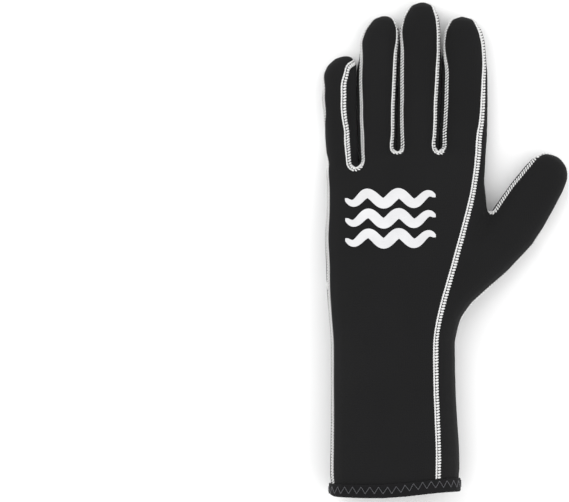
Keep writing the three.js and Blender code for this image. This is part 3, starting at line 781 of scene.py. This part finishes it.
# The binding of the cuff's edge
def faired_binding():
    """The folded strip round the cuff's edge, as soft as cloth."""
    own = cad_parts["cuff_binding"]
    piece = mesh_from("cuff_binding_tape", points_of(own), faces_of(own))
    edit(piece, bpy.ops.mesh.remove_doubles, threshold=WELD)
    finish_modifier(piece, "REMESH", mode="VOXEL", voxel_size=0.5 * MM)
    finish_modifier(piece, "SMOOTH", factor=0.5, iterations=24)
    points = points_of(piece)
    x, y, _ = points.T
    low = CUFF_LOW
    corner = np.clip((low.x + 5 * MM - x) / (5 * MM), 0, 1)
    slope = np.clip((low.x + 27 * MM - x) / (27 * MM), 0, 1)
    lift = 3.0 * MM * (1 - np.sqrt(1 - corner**2)) + 1.0 * MM * slope**2
    points[:, 1] += lift * (1 - ease(y, low.y + 3 * MM, low.y + 12 * MM))
    set_points(piece, points)
    return piece


def around_cuff(tree, distance, count):
    """Points and normals of the binding's outer face, round the cuff at a distance from its edge."""
    middle, size = (CUFF_LOW + CUFF_HIGH) / 2, CUFF_HIGH - CUFF_LOW
    found = []
    for angle in np.linspace(0, 2 * math.pi, count, endpoint=False):
        way = Vector((math.cos(angle) * size.x, 0, math.sin(angle) * size.z)).normalized()
        rise = MOUTH_RISE * ease(way.x / 2 + 0.1, 0.0, 0.6)
        start = Vector((middle.x, CUFF_LOW.y + distance + rise, middle.z)) + way * 0.2
        found.append(tree.ray_cast(start, -way)[:2])
    return np.array([hit for hit, _ in found]), np.array([normal for _, normal in found])


def zigzag(sizes, tree):
    """The black zigzag stitching of the binding."""
    size = CUFF_HIGH - CUFF_LOW
    girth = math.pi * (0.75 * (size.x + size.z) - 0.5 * math.sqrt(size.x * size.z))
    turns = int(round(girth / sizes.zigzag_pitch))
    middle, fine, steps = 5.0 * MM, 720, 4
    rings = [around_cuff(tree, middle + side * sizes.zigzag_height / 2, fine) for side in (-1, 1)]
    lower = rings[0][0]
    along = walked(np.vstack([lower, lower[:1]]))
    corners = []
    for k in range(2 * turns):
        index = int(np.searchsorted(along, along[-1] * k / (2 * turns))) % fine
        ring, normals = rings[k % 2]
        corners.append((ring[index], normals[index]))
    threads = Threads()
    share = (np.arange(steps)[:, None] + 0.5) / steps
    for (start, first_up), (end, last_up) in zip(corners, corners[1:] + corners[:1]):
        middles = start + (end - start) * share
        ups = unit(first_up + (last_up - first_up) * share)
        for i, up in enumerate(ups):
            hit = tree.ray_cast(Vector(middles[i] + up * 4 * MM), Vector(-up))[0]
            if hit is not None:
                middles[i] = hit
        way = unit(np.broadcast_to(end - start, middles.shape))
        half = np.linalg.norm(end - start) / steps * 0.62
        threads.add(middles + ups * 0.12 * MM, way, ups, half, sizes.zigzag_thread / 2)
    return threads.piece("binding_zigzag")


# The raised prints
def ribbon(path, widths, steps_across):
    """A flat band along a path in the plane, with a width at each of its points, as points and faces."""
    along = np.gradient(path, axis=0)
    along /= np.linalg.norm(along, axis=1, keepdims=True)
    across = np.stack([-along[:, 1], along[:, 0]], axis=1)
    rows = steps_across + 1
    shares = np.linspace(-0.5, 0.5, rows)
    points = path[:, None] + across[:, None] * (widths[:, None] * shares)[:, :, None]
    faces = []
    for i in range(len(path) - 1):
        for k in range(steps_across):
            a = i * rows + k
            faces.append((a, a + rows, a + rows + 1, a + 1))
    return points.reshape(-1, 2), faces


def wave_path(size, height, steps):
    """One rise and fall of a wave, from its left end to its right one."""
    x = np.linspace(-0.5, 0.5, steps)
    return np.stack([x * size, height * np.sin(2 * math.pi * x)], axis=1)


def print_piece(name, shapes, skin, node, height):
    """Flat shapes laid on a panel from above or below, where they fit, and given the print's height."""
    points, faces = [], []
    side = -1 if node == "palm_panel" else 1
    for flat, own_faces in shapes:
        found = [skin.tree.ray_cast(Vector((x, y, side * 0.2)), Vector((0, 0, -side))) for x, y in flat]
        if all(skin.holds(node, hit) for hit in found[:: max(len(flat) // 5, 1)]):
            faces += [tuple(v + len(points) for v in face[::side]) for face in own_faces]
            points += [hit + normal * 0.06 * MM for hit, normal, *_ in found]
    piece = mesh_from(name, points, faces)
    finish_modifier(piece, "SOLIDIFY", thickness=height + 0.25 * MM, offset=0.38, use_even_offset=False)
    close_fingers(piece, skin.sizes.spread)
    return piece


# Materials
def node_group(name, inputs, outputs):
    """An empty shader node group for numbers, with its sockets and its input and output nodes."""
    group = bpy.data.node_groups.new(name, "ShaderNodeTree")
    for socket, default in inputs.items():
        made = group.interface.new_socket(socket, in_out="INPUT", socket_type="NodeSocketFloat")
        made.default_value = default
    for socket in outputs:
        group.interface.new_socket(socket, in_out="OUTPUT", socket_type="NodeSocketFloat")
    return group, group.nodes.new("NodeGroupInput"), group.nodes.new("NodeGroupOutput")


def feed(tree, socket, value):
    """Links another socket to a socket, or gives it a value."""
    if isinstance(value, bpy.types.NodeSocket):
        tree.links.new(value, socket)
    else:
        socket.default_value = value


def math_node(tree, operation, *values):
    """The result of a Math node whose inputs are numbers or sockets."""
    node = tree.nodes.new("ShaderNodeMath")
    node.operation = operation
    for socket, value in zip(node.inputs, values):
        feed(tree, socket, value)
    return node.outputs[0]


def fed_node(tree, kind, group=None, **values):
    """The outputs of a node, which may hold a group, with its inputs' numbers or sockets."""
    node = tree.nodes.new("ShaderNode" + kind)
    if group:
        node.node_tree = MATERIAL_GROUPS[group]
    for name, value in values.items():
        feed(tree, node.inputs[name.replace("_", " ")], value)
    return node.outputs


def own_place(tree):
    """The place in the piece's own space."""
    return fed_node(tree, "TexCoord")["Object"]


def knit_group():
    """Fine knit: rows of small V-shaped loops in the sheet's own space, as a height from 0 to 1."""
    sockets = {"Loops per metre": 1100.0, "Unevenness": 0.25}
    group, start, end = node_group("Fine knit", sockets, ("Height",))
    place = own_place(group)
    split = fed_node(group, "SeparateXYZ", Vector=place)
    noise = fed_node(group, "TexNoise", Vector=place, Scale=420.0, Detail=1.0)
    stray = math_node(group, "MULTIPLY", noise["Fac"], start.outputs["Unevenness"])
    turns = math_node(group, "MULTIPLY", start.outputs["Loops per metre"], 2 * math.pi)
    level = math_node(group, "ADD", split["X"], split["Z"])
    ribs_at = math_node(group, "MULTIPLY_ADD", level, turns, math_node(group, "MULTIPLY", stray, 6.0))
    ribs = math_node(group, "SINE", ribs_at)
    lean = math_node(group, "MULTIPLY", math_node(group, "ABSOLUTE", ribs), 1.6)
    rows = math_node(group, "SINE", math_node(group, "MULTIPLY_ADD", split["Y"], turns, lean))
    mixed = math_node(group, "MULTIPLY_ADD", rows, 0.28, 0.5)
    feed(group, end.inputs["Height"], math_node(group, "MULTIPLY_ADD", ribs, 0.2, mixed))
    return group


def handled_group():
    """Slow changes of shade where a used sheet is rubbed or creased, and fine flecks, from 0 to 1."""
    group, start, end = node_group("Handled sheet", {"Patches per metre": 22.0}, ("Shade", "Fleck"))
    place = own_place(group)
    broad = fed_node(group, "TexNoise", Vector=place, Detail=3.0, Scale=start.outputs["Patches per metre"])
    fleck = fed_node(group, "TexNoise", Vector=place, Scale=1500.0)
    feed(group, end.inputs["Shade"], broad["Fac"])
    feed(group, end.inputs["Fleck"], fleck["Fac"])
    return group


def new_material(name, roughness, sheen, specular):
    """A material with its Principled shader."""
    material = bpy.data.materials.new(name)
    material.use_nodes = True
    shader = material.node_tree.nodes["Principled BSDF"]
    values = (roughness, sheen, 0.5, specular)
    for name, value in zip(("Roughness", "Sheen Weight", "Sheen Roughness", "Specular IOR Level"), values):
        shader.inputs[name].default_value = value
    return material, material.node_tree, shader


def dress(tree, shader, base, shade, amount, height, strength, depth):
    """Lets a shade from 0 to 1 darken or lighten a colour by an amount, and a height raise the surface."""
    mixer = tree.nodes.new("ShaderNodeMix")
    mixer.data_type = "RGBA"
    for socket, sign in (("A", -1), ("B", 1)):
        mixer.inputs[socket].default_value = tuple(c * (1 + sign * amount) for c in base) + (1.0,)
    feed(tree, mixer.inputs["Factor"], shade)
    feed(tree, shader.inputs["Base Color"], mixer.outputs["Result"])
    bump = fed_node(tree, "Bump", Strength=strength, Distance=depth, Height=height)
    feed(tree, shader.inputs["Normal"], bump["Normal"])


def knit_material(name, base, loops, strength, sheen):
    """Matte knit over foam rubber, whose loop height is also painted into its colour: painted shade in the
    loops' dips and lighter tops, mixed with random tone and flecks.
    """
    material, tree, shader = new_material(name, 0.9, sheen, 0.16)
    height = fed_node(tree, "Group", "knit", Loops_per_metre=loops)["Height"]
    handled = fed_node(tree, "Group", "handled")
    # Painted shade: the loops' height darkens the colour in their dips and lightens their tops
    shade = math_node(tree, "MULTIPLY_ADD", height, 0.5, handled["Shade"])
    shade = math_node(tree, "SUBTRACT", shade, 0.45)
    shade = math_node(tree, "MULTIPLY_ADD", handled["Fleck"], 0.4, shade)
    dress(tree, shader, base, shade, 0.22, height, strength, 0.15 * MM)
    return material


def thread_material(name, base, roughness, sheen, amount):
    """Spun thread with fine slanted ply lines as bumps, painted darker in their grooves and lighter on their
    ridges as painted shade and highlight.
    """
    material, tree, shader = new_material(name, roughness, sheen, 0.4)
    ply_relief_and_painted_shade = fed_node(tree, "TexWave", Vector=own_place(tree), Scale=900.0, Distortion=2.0)["Fac"]
    ply_relief_and_painted_shade.node.bands_direction = "DIAGONAL"
    # Painted shade and highlight: the ply wave darkens the thread in its grooves and lightens its ridges
    dress(tree, shader, base, ply_relief_and_painted_shade, amount, ply_relief_and_painted_shade, 0.35, 0.06 * MM)
    return material


def print_material(name, base, roughness, wear_and_painted_shade):
    """Rubber ink laid on the knit, whose loops still show through as bumps and as painted shade in their dips,
    with random worn patches.
    """
    material, tree, shader = new_material(name, roughness, 0.0, 0.45)
    height = fed_node(tree, "Group", "knit")["Height"]
    handled = fed_node(tree, "Group", "handled", Patches_per_metre=110.0)
    # Painted shade: the knit's height darkens the print in the loops' dips; the patches are random wear
    shade = math_node(tree, "MULTIPLY_ADD", height, 0.3, handled["Shade"])
    dress(tree, shader, base, shade, wear_and_painted_shade, height, 0.25, 0.1 * MM)
    return material


MATERIAL_GROUPS = {}
MATERIALS = {}
MADE = {}


def paint(piece, material, angle=50.0):
    """Gives a piece its material, smooth shading and its body."""
    piece.data.materials.clear()
    piece.data.materials.append(MATERIALS[material])
    choose(piece)
    bpy.ops.object.shade_smooth_by_angle(angle=math.radians(angle))
    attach(piece, "root")


class GLOVE_OT_materials(bpy.types.Operator):
    """Make the materials of the knit, the tape, the threads and the prints"""

    bl_idname = "glove.materials"
    bl_label = "Materials"

    def execute(self, context):
        colours = context.scene.glove_colours
        MATERIAL_GROUPS["knit"] = knit_group()
        MATERIAL_GROUPS["handled"] = handled_group()
        MATERIALS["back"] = knit_material("Black knit", colours.back_knit, 1000.0, 0.5, 0.02)
        MATERIALS["palm"] = knit_material("Dark grey knit", colours.palm_knit, 900.0, 0.6, 0.06)
        MATERIALS["tape"] = knit_material("Binding tape", colours.tape, 1500.0, 0.8, 0.02)
        MATERIALS["thread"] = thread_material("White thread", colours.thread, 0.75, 0.15, 0.1)
        MATERIALS["black thread"] = thread_material("Black thread", colours.black_thread, 0.25, 0.0, 0.5)
        MATERIALS["back print"] = print_material("Light print", colours.print_grey, 0.45, 0.12)
        MATERIALS["palm print"] = print_material("Grip print", colours.grip_grey, 0.5, 0.5)
        return {"FINISHED"}


class GLOVE_OT_panels(bpy.types.Operator):
    """Make the glove's skin and cut it into its sewn panels"""

    bl_idname = "glove.panels"
    bl_label = "Panels"

    def execute(self, context):
        sizes = context.scene.glove_sizes
        skin = MADE["skin"] = Skin(sizes)
        sheets = {node: split_panel(skin, number) for number, node in enumerate(PANELS)}
        runs = MADE["runs"] = seam_runs(sheets)
        seams = line_tree([path for _, path in runs])
        for node in PANELS:
            self.finish_panel(thicken(sheets[node], skin, sizes.wall), node, skin, seams)
        return {"FINISHED"}

    @staticmethod
    def finish_panel(piece, node, skin, seams):
        """Dips a panel's outer face into its seams and closes the fingers."""
        sizes = skin.sizes
        points = points_of(piece)
        count = len(points) // 2
        outer = np.arange(len(points)) < count
        far = np.full(len(points), 20 * MM)
        far[:count] = distances(seams, points[:count])
        normals = np.zeros((len(points), 3))
        normals[:count] = skin.nearest(points[:count])[1]
        depth = sizes.valley_depth * (1 - ease(far, 0.3 * MM, sizes.valley_width))
        points = fan_in(points - normals * depth[:, None], sizes.spread)
        if node in FOURCHETTES:
            points = np.where(outer[:, None], fill_gaps(points, far), points)
        set_points(piece, settle(points))
        press_flat(piece, sizes.rest_lift + np.where(outer, 0.0, 0.5 * MM))
        look, slot = ("palm", "palm_knit") if node == "palm_panel" else ("back", "knit")
        paint(piece, look, 60.0)
        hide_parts(node)


class GLOVE_OT_stitches(bpy.types.Operator):
    """Sew the white stitches along every seam"""

    bl_idname = "glove.stitches"
    bl_label = "Seam stitches"

    def execute(self, context):
        sizes = context.scene.glove_sizes
        made = {node: Threads() for node in STITCHED}
        for seed, (node, path) in enumerate(MADE["runs"]):
            line = SeamLine(MADE["skin"], node, path, sizes.stitch_pitch)
            sew(made[node], line, sizes, seed)
        for node, threads in made.items():
            piece = threads.piece(node.replace("_panel", "_seam_stitches"))
            close_fingers(piece, sizes.spread)
            press_flat(piece)
            paint(piece, "thread", 80.0)
        return {"FINISHED"}


class GLOVE_OT_binding(bpy.types.Operator):
    """Make the cuff's binding and its zigzag stitches"""

    bl_idname = "glove.binding"
    bl_label = "Cuff binding"

    def execute(self, context):
        sizes = context.scene.glove_sizes
        piece = faired_binding()
        tree = piece_tree(piece)
        press_flat(piece, 0.0)
        paint(piece, "tape", 60.0)
        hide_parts("cuff_binding")
        thread = zigzag(sizes, tree)
        press_flat(thread)
        paint(thread, "black thread", 80.0)
        return {"FINISHED"}


class GLOVE_OT_prints(bpy.types.Operator):
    """Lay the wave motif on the back of the hand and the grip print on the palm"""

    bl_idname = "glove.prints"
    bl_label = "Prints"

    def execute(self, context):
        sizes = context.scene.glove_sizes
        skin = MADE["skin"]
        self.back_motif(sizes, skin)
        self.grip_print(sizes, skin)
        return {"FINISHED"}

    @staticmethod
    def back_motif(sizes, skin):
        """Three bands of waves, one above the other."""
        centre = (-33.6 * MM, 19.6 * MM)
        wave = wave_path(sizes.wave_length, sizes.wave_height, 25)[:-1]
        path = np.concatenate([wave + (k * sizes.wave_length, 0) + centre for k in (-1, 0, 1)])
        rounding = np.clip(np.sin(math.pi * np.linspace(0, 1, len(path))), 0, 1) ** 0.35
        widths = sizes.wave_width * rounding + 0.3 * MM
        shapes = [ribbon(path + (0, row * sizes.wave_rows), widths, 4) for row in (1, 0, -1)]
        piece = print_piece("back_wave_motif", shapes, skin, "back_panel", sizes.print_height)
        paint(piece, "back print", 40.0)

    @staticmethod
    def grip_print(sizes, skin):
        """Slanted rows of small rings, waves and bars over the palm and the fingers."""
        shapes = []
        slant = math.radians(28.0)
        turn = np.array([[math.cos(slant), math.sin(slant)], [-math.sin(slant), math.cos(slant)]])
        angles = np.linspace(0, 2 * math.pi, 15)
        bar = np.linspace(-2.6, 2.6, 9)
        marks = (
            np.stack([2.1 * np.cos(angles), 2.5 * np.sin(angles)], axis=1) * MM,
            wave_path(6.4 * MM, 1.2 * MM, 13),
            np.stack([bar, 0 * bar], axis=1) * MM,
            wave_path(6.4 * MM, -1.2 * MM, 13),
        )
        for row, place in itertools.product(range(-14, 15), range(-16, 17)):
            kind = (place + 2 * row) % len(marks)
            shift = ((place + 0.5 * (row % 2)) * sizes.grip_marks, row * sizes.grip_rows)
            path = (marks[kind] + shift) @ turn + (0.0, 55 * MM)
            taper = np.clip(np.sin(math.pi * np.linspace(0, 1, len(path))), 0, 1) ** 0.4
            closed = kind == 0
            widths = sizes.grip_width * np.where(closed, 1.0, taper) + 0.15 * MM
            shapes.append(ribbon(path, widths, 1 if closed else 2))
        piece = print_piece("palm_grip_print", shapes, skin, "palm_panel", sizes.print_height * 0.7)
        press_flat(piece, 0.01 * MM)
        paint(piece, "palm print", 40.0)


class GLOVE_OT_stage(bpy.types.Operator):
    """Set up the pale floor, the soft lights and the camera above"""

    bl_idname = "glove.stage"
    bl_label = "Stage"

    def execute(self, context):
        scene = context.scene
        self.floor(scene)
        self.lights(scene)
        self.camera(scene)
        scene.view_settings.view_transform = "Standard"
        return {"FINISHED"}

    @staticmethod
    def floor(scene):
        """A wide pale floor."""
        bpy.ops.mesh.primitive_plane_add(size=14.0)
        floor = bpy.context.active_object
        floor.name = "floor"
        material, _, shader = new_material("Pale floor", 0.9, 0.0, 0.2)
        shader.inputs["Base Color"].default_value = (*scene.glove_colours.floor, 1.0)
        floor.data.materials.append(material)

    @staticmethod
    def lights(scene):
        """A soft light all round and two large lamps."""
        world = bpy.data.worlds.new("Soft light")
        scene.world = world
        world.use_nodes = True
        sky = world.node_tree.nodes["Background"].inputs
        sky["Color"].default_value = (1.0, 1.0, 1.0, 1.0)
        sky["Strength"].default_value = 1.15
        for name, place, size, watts in (
            ("key", (-0.7, 0.8, 1.6), 1.4, 11.0),
            ("fill", (0.9, -0.5, 1.4), 1.6, 7.0),
        ):
            lamp = bpy.data.lights.new(name, "AREA")
            lamp.size = size
            lamp.energy = watts
            holder = new_object(name, lamp)
            holder.location = place
            holder.rotation_euler = (-Vector(place)).to_track_quat("-Z", "Y").to_euler()

    @staticmethod
    def camera(scene):
        """A long lens straight above, framed as in the photograph."""
        eye = bpy.data.cameras.new("camera")
        eye.lens = eye.sensor_width * CAMERA_PLACE[2] / PHOTO_WIDTH
        eye.clip_end = 40.0
        scene.camera = new_object("camera", eye)
        scene.camera.location = CAMERA_PLACE


STEPS = (
    GLOVE_OT_materials,
    GLOVE_OT_panels,
    GLOVE_OT_stitches,
    GLOVE_OT_binding,
    GLOVE_OT_prints,
    GLOVE_OT_stage,
)


class GLOVE_PT_panel(bpy.types.Panel):
    """Lists the glove's sizes, colours and steps in the sidebar"""

    bl_label = "Diving glove"
    bl_idname = "GLOVE_PT_panel"
    bl_space_type = "VIEW_3D"
    bl_region_type = "UI"
    bl_category = "Glove"

    def draw(self, context):
        layout = self.layout
        for group in (context.scene.glove_sizes, context.scene.glove_colours):
            box = layout.box()
            for name in group.bl_rna.properties.keys():
                if name not in ("rna_type", "name"):
                    box.prop(group, name)
        for step in STEPS:
            layout.operator(step.bl_idname)


CLASSES = (GloveSizes, GloveColours, *STEPS, GLOVE_PT_panel)


def register():
    for cls in CLASSES:
        bpy.utils.register_class(cls)
    bpy.types.Scene.glove_sizes = bpy.props.PointerProperty(type=GloveSizes)
    bpy.types.Scene.glove_colours = bpy.props.PointerProperty(type=GloveColours)


def unregister():
    del bpy.types.Scene.glove_colours
    del bpy.types.Scene.glove_sizes
    for cls in reversed(CLASSES):
        bpy.utils.unregister_class(cls)


def main():
    """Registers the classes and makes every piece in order."""
    register()
    bpy.ops.glove.materials()
    bpy.ops.glove.panels()
    bpy.ops.glove.stitches()
    bpy.ops.glove.binding()
    bpy.ops.glove.prints()
    bpy.ops.glove.stage()
    bpy.data.objects.remove(MADE["skin"].piece)


if __name__ == "__main__":
    main()
